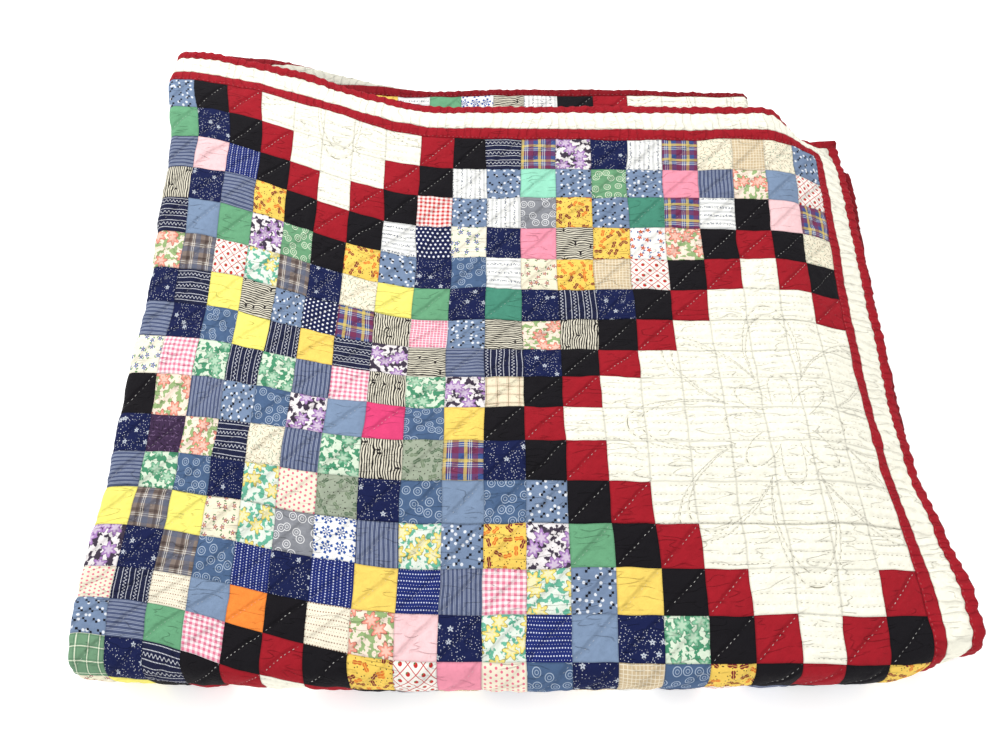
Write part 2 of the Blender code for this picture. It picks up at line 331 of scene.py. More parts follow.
def section(x, sheet):
    """The line of the second fold at one lengthwise thread: distances and (y, z, sideways) rows."""
    lean_here = lean(x)
    bow = float(smooth(1.0 - abs(x - RIDGE_BOW_X) / RIDGE_BOW_RUN))
    ridge = RIDGE_Y + SKEW_BACK * lean_here + RIDGE_BOW * bow + 0.3 * max(0.0, sheet)
    ridge_radius = RIDGE_RADIUS + PITCH * sheet
    ridge_centre = ridge - RIDGE_RADIUS
    back = upper_run(x, steps(MIDDLE_Y, ridge_centre), sheet)
    angle = np.pi * np.arange(1, 13) / 24.0
    bend_y = ridge_centre + ridge_radius * np.sin(angle)
    bend_z = back[-1, 1] - ridge_radius * (1.0 - np.cos(angle))
    bend = np.column_stack((bend_y, bend_z, np.full(bend_y.shape, back[-1, 2])))
    back = np.vstack((back, bend, (bend_y[-1], bend_z[-1] - HANG, back[-1, 2])))

    front = 0.009 * (x / 0.38) ** 2 + FRONT_CENTRE + ROUND_BACK * float(smooth((x - ROUND_X) / ROUND_RUN))
    upper = upper_run(x, steps(MIDDLE_Y, front), sheet)
    low = (level_b(sheet), 0.0)
    roll = half_turn(front, upper[-1, 1:], low, -FRONT_REACH - PITCH * sheet, FRONT_SQUARE)
    rounded = float(smooth((x - REAR_ROUND_X) / REAR_ROUND_RUN))
    rear = BACK_CENTRE + SKEW_BACK * lean_here - REAR_ROUND * rounded
    y = steps(front, rear)
    lower = np.column_stack((y, np.full(y.shape, low[0]), np.zeros(y.shape)))
    in_tuck = drawn_in(x, 4.0 * PITCH)
    top = (float(level_c(x, rear, sheet)), in_tuck)
    turn = half_turn(rear, top, low, BACK_REACH + PITCH * sheet, 2.0)[::-1]
    y = steps(rear, TUCK_END_Y)
    tucked = np.column_stack((y, level_c(x, y, sheet), np.full(y.shape, in_tuck)))
    line = np.vstack((back[:0:-1], upper, roll, lower, turn, tucked))
    distances = np.concatenate(([0.0], np.cumsum(np.hypot(*np.diff(line[:, :2], axis=0).T))))
    return distances - distances[len(back) - 1] - MIDDLE_Y, line


def slide(x, sheet, v):
    """How far the cloth has slipped toward the back at each place."""
    lean_here = lean(x)
    other = 1.0 if x < -0.36 else min(1.0, 1.0 - sheet)
    at_back = -SLIP_RIGHT * (1.0 - other) * float(smooth((x - 0.02) / 0.30))
    at_back += SKEW_SLIDE * lean_here + SLIP_BACK * (1.0 - lean_here) * other
    at_front = SKEW_FRONT * lean_here + SLIP_FRONT * (1.0 - lean_here) * other
    slipped = at_back + (at_front - at_back) * smooth(v / SLIDE_RUN)
    return slipped + along(ROW_EASE, v) + lean_here * along(LEFT_EASE, v)


def folded(u_places, v_places):
    """The folded quilt's middle surface at a grid of places of the flat quilt."""
    v = np.asarray(v_places, dtype=float)
    grid = np.empty((len(u_places), len(v), 3))
    for row, u in enumerate(u_places):
        x, sheet = across(u)
        distances, line = section(x, sheet)
        want = v - ROW_ZERO - slide(x, sheet, v)
        y = np.interp(want, distances, line[:, 0])
        grid[row, :, 2] = np.interp(want, distances, line[:, 1])
        grid[row, :, 1] = y
        swing = along(LEFT_SWING, y) * float(smooth((-x - 0.20) / 0.165))
        shear = along(RIGHT_SWING, y) * float(smooth(x / 0.25))
        grid[row, :, 0] = x + swing + shear + np.interp(want, distances, line[:, 2])
    return grid


# ---- relief of the sewn cloth
def bumps(u, v, size, seed):
    """Smooth seeded bumps of one size over the flat quilt, from about -1 to 1."""
    shape = (int(FLAT_WIDTH / size) + 8, int(FLAT_LENGTH / size) + 8)
    lattice = np.random.default_rng(seed).uniform(-1.0, 1.0, shape)
    a = u / size + 3.0
    b = v / size + 3.0
    i = np.floor(a).astype(int)
    j = np.floor(b).astype(int)
    a = smooth(a - i)
    b = smooth(b - j)
    near = lattice[i, j] * (1.0 - b) + lattice[i, j + 1] * b
    far = lattice[i + 1, j] * (1.0 - b) + lattice[i + 1, j + 1] * b
    return near * (1.0 - a) + far * a


def diamond_layout():
    """For every square: its distance to the nearest diamond centre, and that centre's row and column."""
    rows, columns = np.mgrid[0:ROWS, 0:COLUMNS]
    distance = np.full(rows.shape, 999)
    centre_row = np.zeros(rows.shape, dtype=int)
    centre_column = np.zeros(rows.shape, dtype=int)
    for down in range(-1, 5):
        for over in range(-1, 6):
            if (down + over) % 2:
                continue
            row = FIRST_ROW + DIAMOND_STEP * down
            column = FIRST_COLUMN + DIAMOND_STEP * over
            here = np.abs(rows - row) + np.abs(columns - column)
            nearer = here < distance
            distance = np.where(nearer, here, distance)
            centre_row = np.where(nearer, row, centre_row)
            centre_column = np.where(nearer, column, centre_column)
    return distance, centre_row, centre_column


DISTANCE, CENTRE_ROW, CENTRE_COLUMN = diamond_layout()


def square_of(u, v):
    """Row and column of the square at a place, clipped to the patchwork."""
    column = np.clip(np.floor((u - EDGE) / CELL_U + 1e-6), 0, COLUMNS - 1).astype(int)
    row = np.clip(np.floor((v - EDGE) / CELL_V + 1e-6), 0, ROWS - 1).astype(int)
    return row, column


def from_edge(u, v):
    """Distance from the nearest outer edge of the flat quilt."""
    return np.minimum(np.minimum(u, FLAT_WIDTH - u), np.minimum(v, FLAT_LENGTH - v))


def from_diamond(u, v, row, column):
    """Distances across and down from the centre of the nearest diamond."""
    du = u - (EDGE + CELL_U * (CENTRE_COLUMN[row, column] + 0.5))
    dv = v - (EDGE + CELL_V * (CENTRE_ROW[row, column] + 0.5))
    return du, dv


def petals(du, dv):
    """The length of the petal outline that a place of the medallion is on, and its share of it."""
    radius = np.hypot(du, dv)
    angle = np.arctan2(dv, du)
    leaf = PETAL_IN + (1.0 - PETAL_IN) * np.abs(np.cos(PETALS / 2.0 * angle))
    return radius / leaf, leaf


def relief(u, v, sizes):
    """How the sewn cloth rises off its middle surface, and how it creeps sideways, at flat places."""
    row, column = square_of(u, v)
    in_u = (u - EDGE) / CELL_U - column
    in_v = (v - EDGE) / CELL_V - row
    inside = (in_u >= -1e-6) & (in_u <= 1.0 + 1e-6) & (in_v >= -1e-6) & (in_v <= 1.0 + 1e-6)
    in_u = np.clip(in_u, 0.0, 1.0)
    in_v = np.clip(in_v, 0.0, 1.0)
    puff = (1.0 - np.abs(2.0 * in_u - 1.0) ** 6) * (1.0 - np.abs(2.0 * in_v - 1.0) ** 6)
    diagonal = np.exp(-(((in_u - in_v) / GROOVE_SHARE) ** 2))
    du, dv = from_diamond(u, v, row, column)
    reach, leaf = petals(du, dv)
    ring = dv / LINE_PITCH + 0.3 * bumps(u, v, 0.04, 9)
    quilted = np.exp(-(((ring - np.round(ring)) / 0.22) ** 2)) * (0.75 + 0.45 * bumps(u, v, 0.016, 10))
    for outline in PETAL_OUTLINES:
        quilted = np.maximum(quilted, np.exp(-(((reach - outline) * leaf / 0.0019) ** 2)))
    cream = DISTANCE[row, column] <= DIAMOND_CREAM
    sewn = np.where(cream, 1.25 * quilted, diagonal)
    rise = sizes.puff * puff * (1.0 - sizes.groove * sewn)

    edge = from_edge(u, v)
    lengthwise = np.where((u < EDGE) | (u > FLAT_WIDTH - EDGE), v, u)
    strip = np.where(edge < BINDING, edge / BINDING, (edge - BINDING) / BORDER)
    strip = np.where(edge > BINDING + BORDER, (edge - BINDING - BORDER) / INNER_STRIP, strip)
    strip = np.clip(strip, 0.0, 1.0)
    pucker = np.sin(lengthwise * 2.0 * np.pi / PUCKER + 2.0 * bumps(u, v, 0.03, 11))
    strip_rise = (1.0 - np.abs(2.0 * strip - 1.0) ** 3) * (sizes.puff + 0.0005 * pucker)
    rise = np.where(inside, rise, strip_rise)
    for share, size, seed in RUMPLES:
        rise += sizes.rumple * share * bumps(u, v, size, seed)
    for u_from, v_from, u_to, v_to, width, height in CREASES:
        run = np.array((u_to - u_from, v_to - v_from))
        length = np.hypot(*run)
        run = run / length
        part = np.clip((u - u_from) * run[0] + (v - v_from) * run[1], 0.0, length)
        away = np.hypot(u - u_from - part * run[0], v - v_from - part * run[1])
        ends = smooth(part / 0.05) * smooth((length - part) / 0.05)
        rise += height * np.exp(-((away / width) ** 2)) * ends
    scallop = 0.0011 * np.sin(lengthwise * 2.0 * np.pi / (PUCKER * 1.15) + 3.0 * bumps(u, v, 0.05, 12))
    scallop = scallop * np.clip(1.0 - edge / EDGE, 0.0, 1.0)
    out_u = np.where(u < FLAT_WIDTH / 2.0, -1.0, 1.0) * scallop * (lengthwise == v)
    out_v = np.where(v < FLAT_LENGTH / 2.0, -1.0, 1.0) * scallop * (lengthwise == u)
    creep_u = sizes.creep * (bumps(u, v, 0.055, 3) + 0.4 * bumps(u, v, 0.018, 4)) + out_u
    creep_v = sizes.creep * (bumps(u, v, 0.055, 5) + 0.4 * bumps(u, v, 0.018, 6)) + out_v
    return rise, creep_u, creep_v


def sewn_surface(u_places, v_places, sizes):
    """Top and underside of the cloth at a grid of flat places, still off the shared frame."""
    wide_u = np.concatenate(([u_places[0] - 0.001], u_places, [u_places[-1] + 0.001]))
    wide_v = np.concatenate(([v_places[0] - 0.001], v_places, [v_places[-1] + 0.001]))
    middle = folded(wide_u, wide_v)
    along_u = np.gradient(middle, wide_u, axis=0)[1:-1, 1:-1]
    along_v = np.gradient(middle, wide_v, axis=1)[1:-1, 1:-1]
    outward = np.cross(along_u, along_v)
    outward /= np.linalg.norm(outward, axis=2, keepdims=True)
    middle = middle[1:-1, 1:-1]
    u = np.asarray(u_places)[:, None] + np.zeros((1, len(v_places)))
    v = np.asarray(v_places)[None, :] + np.zeros((len(u_places), 1))
    rise, creep_u, creep_v = relief(u, v, sizes)
    edge = from_edge(u, v)
    rounding = np.sqrt(1.0 - (1.0 - np.clip(edge / EDGE_ROUND, 0.06, 1.0)) ** 2)
    upper = outward * ((CLOTH / 2.0 - 0.0005 + rise) * rounding)[:, :, None]
    lower = outward * (CLOTH / 2.0 * rounding)[:, :, None]
    sideways = along_u * creep_u[:, :, None] + along_v * creep_v[:, :, None]
    return middle + upper + sideways, middle - lower + sideways


# ---- which cloth each square has
def srgb(red, green, blue):
    """A display colour, 0 to 255 a channel, as a linear colour."""
    channels = []
    for value in (red, green, blue):
        value /= 255.0
        channels.append(value / 12.92 if value <= 0.04045 else ((value + 0.055) / 1.055) ** 2.4)
    return (*channels, 1.0)


def choose_cloths():
    """The cloth name of every square: diamonds by rule, the rest drawn from the scrap bag."""
    draw = np.random.default_rng(SCRAP_SEED)
    names = [row[0] for row in SCRAPS]
    shares = np.array([row[1] for row in SCRAPS], dtype=float)
    chart = []
    for row in range(ROWS):
        line = []
        for column in range(COLUMNS):
            distance = DISTANCE[row, column]
            if distance <= DIAMOND_CREAM:
                line.append("cream")
                continue
            if distance <= DIAMOND_BLACK:
                line.append("red" if distance == DIAMOND_RED else "black")
                continue
            weights = shares.copy()
            weights[0] *= 1.9 if (row + column) % 2 else 0.45
            for near in (line[-1:] + (chart[-1][column:column + 1] if chart else [])):
                if near in names:
                    weights[names.index(near)] = 0.0
            line.append(names[draw.choice(len(names), p=weights / weights.sum())])
        chart.append(line)
    for name, *squares in ACCENTS:
        for row, column in squares:
            if DISTANCE[row, column] > DIAMOND_BLACK:
                chart[row][column] = name
    return chart


# ---- node materials
class Wire:
    """One value of a node tree, with arithmetic."""

    def __init__(self, loom, socket):
        self.loom = loom
        self.socket = socket

    def do(self, operation, *others):
        return self.loom.math(operation, self, *others)

    def __add__(self, other):
        return self.do("ADD", other)

    def __sub__(self, other):
        return self.do("SUBTRACT", other)

    def __rsub__(self, other):
        return self.loom.math("SUBTRACT", other, self)

    def __mul__(self, other):
        return self.do("MULTIPLY", other)

    def __truediv__(self, other):
        return self.do("DIVIDE", other)

    def __abs__(self):
        return self.do("ABSOLUTE")

    __radd__ = __add__
    __rmul__ = __mul__

    def larger(self, other):
        return self.do("MAXIMUM", other)

    def cosine(self):
        return self.do("COSINE")

    def part(self):
        """The fraction, from 0 to 1."""
        return self.do("FRACT")

    def whole(self):
        return self.do("FLOOR")

    def centred(self, pitch):
        """Distance from the nearest repeat, from -pitch/2 to pitch/2."""
        return ((self / pitch).part() - 0.5) * pitch

    def under(self, limit, soft=0.012):
        """1 where the value is under the limit, with a soft edge."""
        return self.loom.ramp(self, limit + soft, limit - soft)

    def over(self, limit, soft=0.012):
        return self.loom.ramp(self, limit - soft, limit + soft)


class Loom:
    """Builds the node material of one cloth."""

    def __init__(self, name):
        self.material = bpy.data.materials.new(name)
        self.material.use_nodes = True
        self.tree = self.material.node_tree
        self.shader = self.tree.nodes["Principled BSDF"]
        self.maps = {}

    def put(self, socket, value):
        if isinstance(value, Wire):
            self.tree.links.new(value.socket, socket)
        elif hasattr(value, "__len__"):
            socket.default_value = value[:len(socket.default_value)]
        else:
            socket.default_value = value

    def node(self, kind, *values, **settings):
        """A node with its first inputs filled in order; settings are its own attributes."""
        node = self.tree.nodes.new("ShaderNode" + kind)
        for name, value in settings.items():
            setattr(node, name, value)
        for socket, value in zip(node.inputs, values):
            self.put(socket, value)
        return node

    def math(self, operation, *values):
        return Wire(self, self.node("Math", *values, operation=operation).outputs[0])

    def ramp(self, value, low, high):
        """Eased 0 to 1 as the value goes from low to high."""
        ends = (1.0, 0.0) if low > high else (0.0, 1.0)
        limits = (min(low, high), max(low, high))
        node = self.node("MapRange", value, *limits, *ends, interpolation_type="SMOOTHSTEP")
        return Wire(self, node.outputs[0])

    def mix(self, share, first, second):
        node = self.node("Mix", share, data_type="RGBA")
        self.put(node.inputs[6], first)
        self.put(node.inputs[7], second)
        return Wire(self, node.outputs[2])

    def shade(self, colour, amount):
        """The colour multiplied by a value."""
        node = self.node("VectorMath", colour, operation="SCALE")
        self.put(node.inputs[3], amount)
        return Wire(self, node.outputs[0])

    def split(self, socket):
        """The three values of a vector or colour."""
        node = self.node("SeparateXYZ", Wire(self, socket))
        return [Wire(self, output) for output in node.outputs]

    def uv(self, name):
        """The two values of a UV map."""
        if name not in self.maps:
            self.maps[name] = self.split(self.node("UVMap", uv_map=name).outputs[0])[:2]
        return self.maps[name]

    def point(self, x, y):
        return Wire(self, self.node("CombineXYZ", x, y).outputs[0])

    def noise(self, x, y, scale, detail=2.0):
        node = self.node("TexNoise", self.point(x, y))
        node.inputs["Scale"].default_value = scale
        node.inputs["Detail"].default_value = detail
        return Wire(self, node.outputs[0])

    def scatter(self, x, y, scale, even=1.0):
        """Scattered places: distance and direction from the nearest, and a chance value of it."""
        node = self.node("TexVoronoi", self.point(x, y), voronoi_dimensions="2D")
        node.inputs["Scale"].default_value = scale
        node.inputs["Randomness"].default_value = even
        place = self.split(node.outputs["Position"])
        away_x = x - place[0]
        away_y = y - place[1]
        chance = self.split(node.outputs["Color"])[0]
        return self.length(away_x, away_y), self.math("ARCTAN2", away_y, away_x), chance

    def length(self, x, y):
        return (x * x + y * y).do("SQRT")


def solid(loom, x, y, ground, mark, other):
    return loom.mix(loom.noise(x, y, 0.8) * 0.25, ground, mark)


def starry(loom, x, y, ground, mark, other):
    """Tiny specks in clusters and a few small pale flowers."""
    away = loom.scatter(x, y, 3.6)[0]
    specks = away.under(0.032, 0.02) * loom.noise(x, y, 0.9).over(0.50, 0.06)
    away, angle, chance = loom.scatter(x, y, 0.85)
    reach = 0.19 + 0.07 * (angle * 5.0).cosine()
    flower = (away / reach).under(1.0, 0.12) * chance.over(0.72, 0.01)
    colour = loom.mix(specks, ground, mark)
    colour = loom.mix(flower, colour, other)
    return loom.mix(flower * away.under(0.05, 0.01), colour, ground)


def pairs(loom, x, y, ground, mark, other):
    """Linked dark squares between pale blobs."""
    a = x.centred(1.0)
    b = (y + 0.5 * (x.whole().do("MODULO", 2.0))).centred(1.0)
    first = abs(a - 0.17).larger(abs(b - 0.14)).under(0.11)
    second = abs(a + 0.06).larger(abs(b + 0.12)).under(0.11)
    link = abs(a - b * 0.9 - 0.05).under(0.03) * abs(b).under(0.2)
    dark = first.larger(second).larger(link)
    away, angle, chance = loom.scatter(x, y, 1.5)
    colour = loom.mix(away.under(0.14, 0.03) * chance.over(0.3), ground, other)
    return loom.mix(dark, colour, mark)


def stripes(loom, x, y, ground, mark, other):
    """Fine double lines with a wider faint band between them."""
    a = x.centred(0.42)
    lines = abs(a - 0.06).under(0.022).larger(abs(a + 0.06).under(0.022))
    colour = loom.mix(abs(a).over(0.15) * 0.5, ground, other)
    return loom.mix(lines * 0.8, colour, mark)


def ladders(loom, x, y, ground, mark, other):
    """Upright zigzag rows of dots between dotted rails."""
    a = x.centred(1.25)
    zigzag = (abs(y.centred(0.42)) - 0.105) * 1.4
    dots = y.centred(0.14)
    rail = abs(abs(a) - 0.36).under(0.035) * abs(dots).under(0.045)
    rung = abs(a - zigzag).under(0.05) * abs(y.centred(0.105)).under(0.034)
    return loom.mix(rail.larger(rung), ground, mark)


def script(loom, x, y, ground, mark, other):
    """Rows of small written-looking specks between double rules."""
    a = y.centred(1.0)
    rules = abs(abs(a) - 0.44).under(0.022)
    wander = loom.noise(x, y, 5.0) - 0.5
    specks = abs(a + wander * 0.5).under(0.10, 0.03) * loom.noise(x, y, 6.5, 0.0).over(0.52, 0.02)
    return loom.mix((rules * 0.8).larger(specks), ground, mark)


def rings(loom, x, y, ground, mark, other):
    """Thin circles that cross each other, with a dot in each."""
    away, angle, chance = loom.scatter(x, y, 0.9, 0.7)
    circle = abs(away - 0.36).under(0.03)
    small = abs(away - 0.16).under(0.022)
    colour = loom.mix(chance * 0.35, ground, other)
    return loom.mix(circle.larger(small), colour, mark)


def grain(loom, x, y, ground, mark, other):
    """Wandering fine lines that run round dark knots."""
    away = loom.scatter(x, y * 0.6, 0.7)[0]
    bend = loom.noise(x * 0.5, y, 1.4) * 0.35 + (away * -5.0).do("EXPONENT") * 0.3
    lines = ((y + bend) * 26.0).do("SINE").over(0.0, 0.5)
    colour = loom.mix(lines, ground, mark)
    return loom.mix(away.under(0.12, 0.04), colour, mark)


def leaves(loom, x, y, ground, mark, other):
    """Pointed leaves of two colours, and dark dots."""
    away, angle, chance = loom.scatter(x, y, 1.05)
    turn = angle + chance * 6.28
    reach = 0.10 + 0.30 * abs(turn.cosine()).do("POWER", 2.0)
    leaf = (away / reach).under(1.0, 0.1)
    vein = abs(away * turn.do("SINE")).under(0.018, 0.008)
    colour = loom.mix(leaf, ground, loom.mix(chance.over(0.5), mark, other))
    colour = loom.mix(leaf * vein, colour, ground)
    far = loom.scatter(x + 3.1, y + 1.7, 2.2)[0]
    return loom.mix(far.under(0.05) * (1.0 - leaf), colour, srgb(40, 30, 30))


def gingham(loom, x, y, ground, mark, other):
    across_band = abs(x.centred(0.50)).under(0.125, 0.006)
    down_band = abs(y.centred(0.50)).under(0.125, 0.006)
    return loom.mix((across_band + down_band) * 0.5, ground, mark)


def small_check(loom, x, y, ground, mark, other):
    lines = abs(x.centred(0.34)).under(0.03).larger(abs(y.centred(0.34)).under(0.03))
    return loom.mix(lines, ground, mark)


def pane(loom, x, y, ground, mark, other):
    """Wide-spaced crossing lines."""
    a = abs(x.centred(1.1))
    b = abs(y.centred(1.1))
    lines = a.under(0.035).larger(b.under(0.035))
    faint = abs(a - 0.14).under(0.02).larger(abs(b - 0.14).under(0.02))
    return loom.mix(faint * 0.5, loom.mix(lines, ground, mark), other)


def plaid(loom, x, y, ground, mark, other):
    """Crossing bands of two colours with pale hairlines."""
    colour = ground
    for place, shift in ((x, 0.0), (y, 0.3)):
        a = (place + shift).centred(1.9)
        colour = loom.mix(abs(a - 0.45).under(0.28) * 0.55, colour, mark)
        colour = loom.mix(abs(a + 0.5).under(0.16) * 0.55, colour, other)
        colour = loom.mix(abs(abs(a) - 0.85).under(0.022) * 0.8, colour, srgb(240, 238, 230))
    return colour


def polka(loom, x, y, ground, mark, other):
    row = (y / 0.46).whole()
    a = (x + row * 0.26).centred(0.52)
    return loom.mix(loom.length(a, y.centred(0.46)).under(0.115), ground, mark)


def sprigs(loom, x, y, ground, mark, other):
    """Small five-petalled flowers with a leaf, set apart."""
    away, angle, chance = loom.scatter(x, y, 1.0, 0.55)
    reach = 0.20 + 0.08 * (angle * 5.0 + chance * 6.0).cosine()
    flower = (away / reach).under(1.0, 0.1)
    leaf = abs(away - 0.34).under(0.06) * (angle * 2.0 + chance * 9.0).cosine().over(0.7, 0.05)
    colour = loom.mix(leaf, ground, other)
    colour = loom.mix(flower, colour, mark)
    return loom.mix(away.under(0.05), colour, srgb(250, 215, 90))


def florals(loom, x, y, ground, mark, other):
    """Large soft flowers that fill the cloth, with leaves between."""
    away, angle, chance = loom.scatter(x, y, 0.55)
    reach = 0.62 + 0.20 * (angle * 6.0 + chance * 6.0).cosine()
    flower = (away / reach).under(1.0, 0.08)
    inner = (away / (reach * 0.55)).under(1.0, 0.12)
    colour = loom.mix(loom.noise(x, y, 1.6).over(0.52, 0.02), ground, other)
    colour = loom.mix(flower, colour, mark)
    colour = loom.mix(inner * 0.5, colour, ground)
    return loom.mix(abs(away / reach - 0.95).under(0.06, 0.03) * 0.6, colour, srgb(40, 40, 45))


def dotted_rows(loom, x, y, ground, mark, other):
    rows = loom.length(x.centred(0.24), y.centred(0.62)).under(0.06)
    small = loom.length((x + 0.12).centred(0.24), (y + 0.31).centred(0.62)).under(0.03)
    return loom.mix(rows.larger(small), ground, mark)


def diagonals(loom, x, y, ground, mark, other):
    return loom.mix(abs((x + y).centred(0.55)).under(0.13), ground, mark)


def wheels(loom, x, y, ground, mark, other):
    """Checkered wheels in a close grid."""
    a = x.centred(1.3)
    b = y.centred(1.3)
    away = loom.length(a, b)
    sectors = (loom.math("ARCTAN2", b, a) * 6.0).do("SINE").over(0.0, 0.2)
    outer = away.over(0.34)
    sectors = abs(sectors - outer) * away.under(0.58)
    return loom.mix(sectors, ground, mark)


def lattice(loom, x, y, ground, mark, other):
    """Crossed slanting lines with small round fruit in the openings."""
    a = (x + y).centred(1.35)
    b = (x - y).centred(1.35)
    lines = loom.math("MINIMUM", 0.675 - abs(a), 0.675 - abs(b)).under(0.05)
    fruit = loom.length(a, b).under(0.26)
    colour = loom.mix(fruit, loom.mix(lines, ground, mark), mark)
    return loom.mix(loom.length(a - 0.18, b).under(0.10), colour, other)


def scraps(loom, x, y, ground, mark, other):
    """A close scatter of short dashes."""
    away, angle, chance = loom.scatter(x, y, 2.6)
    dash = abs(away * (angle + chance * 6.28).do("SINE")).under(0.03) * away.under(0.16)
    colour = loom.mix(dash * chance.under(0.6), ground, mark)
    return loom.mix(dash * chance.over(0.6), colour, other)


# the cloths: name, share, print, ground, first mark, second mark
SCRAPS = (
    ("navy_specks", 20, starry, (24, 32, 74), (225, 228, 235), (190, 196, 205)),
    ("slate_pairs", 10, pairs, (118, 137, 166), (26, 28, 38), (226, 230, 236)),
    ("denim_lines", 8, stripes, (84, 94, 124), (176, 184, 202), (62, 72, 104)),
    ("navy_ladders", 7, ladders, (30, 34, 62), (230, 232, 238), (0, 0, 0)),
    ("butter", 3, solid, (249, 238, 122), (238, 222, 100), (0, 0, 0)),
    ("golden", 2, solid, (244, 212, 106), (232, 190, 82), (0, 0, 0)),
    ("ruled_white", 6, script, (240, 240, 236), (112, 118, 132), (0, 0, 0)),
    ("slate_rings", 4, rings, (78, 102, 136), (176, 190, 208), (66, 88, 124)),
    ("wood_grain", 5, grain, (226, 220, 200), (34, 30, 32), (0, 0, 0)),
    ("golden_leaves", 3, leaves, (242, 204, 96), (222, 120, 50), (128, 40, 48)),
    ("royal_beads", 2, dotted_rows, (32, 44, 110), (214, 220, 240), (0, 0, 0)),
    ("red_lattice", 2, lattice, (244, 240, 232), (198, 48, 48), (70, 130, 76)),
    ("pink_gingham", 1.5, gingham, (248, 236, 236), (226, 122, 150), (0, 0, 0)),
    ("pink_check", 1, small_check, (232, 140, 162), (250, 240, 240), (0, 0, 0)),
    ("hot_pink", 0.3, solid, (222, 70, 120), (204, 56, 104), (0, 0, 0)),
    ("pink", 0.8, solid, (238, 150, 170), (228, 132, 156), (0, 0, 0)),
    ("light_pink", 1, solid, (246, 204, 206), (240, 190, 196), (0, 0, 0)),
    ("aqua", 0.4, solid, (152, 220, 192), (134, 206, 178), (0, 0, 0)),
    ("leaf_green", 0.6, solid, (106, 164, 124), (88, 148, 110), (0, 0, 0)),
    ("pine_green", 0.5, solid, (74, 140, 118), (62, 124, 104), (0, 0, 0)),
    ("slate", 1.2, solid, (126, 146, 174), (112, 132, 162), (0, 0, 0)),
    ("orange", 0.2, solid, (248, 142, 62), (236, 122, 46), (0, 0, 0)),
    ("green_petals", 2.5, florals, (216, 230, 208), (124, 182, 146), (74, 144, 108)),
    ("peach_florals", 2, florals, (246, 226, 208), (236, 150, 130), (150, 176, 120)),
    ("blue_flowers", 1.5, sprigs, (242, 236, 216), (76, 104, 168), (104, 146, 96)),
    ("cream_flecks", 2, scraps, (240, 232, 208), (160, 140, 110), (120, 150, 130)),
    ("cream_panes", 1.5, pane, (238, 228, 198), (150, 130, 100), (190, 110, 100)),
    ("green_panes", 1, pane, (112, 150, 118), (226, 230, 206), (60, 90, 70)),
    ("tan_check", 1.5, small_check, (206, 184, 148), (236, 226, 202), (0, 0, 0)),
    ("brown_plaid", 1.5, plaid, (132, 118, 110), (88, 100, 124), (66, 52, 50)),
    ("bright_plaid", 1.5, plaid, (62, 84, 140), (130, 40, 60), (232, 204, 90)),
    ("navy_polka", 2, polka, (30, 36, 76), (238, 240, 244), (0, 0, 0)),
    ("red_sprigs", 2, sprigs, (244, 242, 236), (196, 44, 50), (70, 104, 160)),
    ("purple_petals", 2, florals, (236, 230, 230), (170, 130, 188), (66, 56, 72)),
    ("pink_dots", 1.5, polka, (244, 234, 212), (232, 120, 140), (0, 0, 0)),
    ("red_gingham", 1, gingham, (246, 238, 232), (204, 60, 60), (0, 0, 0)),
    ("tiny_leaves", 1, scraps, (226, 232, 208), (70, 128, 82), (104, 150, 96)),
    ("mint_diagonals", 1, diagonals, (36, 40, 42), (158, 208, 178), (0, 0, 0)),
    ("green_rings", 1, rings, (110, 160, 120), (232, 238, 214), (86, 136, 100)),
    ("blue_wheels", 1, wheels, (240, 240, 238), (52, 86, 156), (0, 0, 0)),
    ("teal_roses", 2, florals, (226, 234, 222), (240, 220, 120), (104, 178, 150)),
    ("grey_rings", 1.5, rings, (140, 142, 148), (240, 240, 240), (120, 122, 130)),
    ("black_red_florals", 1, leaves, (238, 236, 230), (190, 34, 46), (40, 36, 40)),
    ("cream_rows", 1.5, dotted_rows, (242, 234, 212), (150, 110, 90), (0, 0, 0)),
    ("cream_sprigs", 1.5, sprigs, (240, 232, 206), (170, 110, 120), (110, 140, 100)),
    ("plum_texture", 1.5, scraps, (62, 44, 72), (30, 24, 34), (120, 96, 130)),
    ("sage_leaves", 1, leaves, (158, 168, 148), (96, 116, 92), (120, 136, 110)),
)
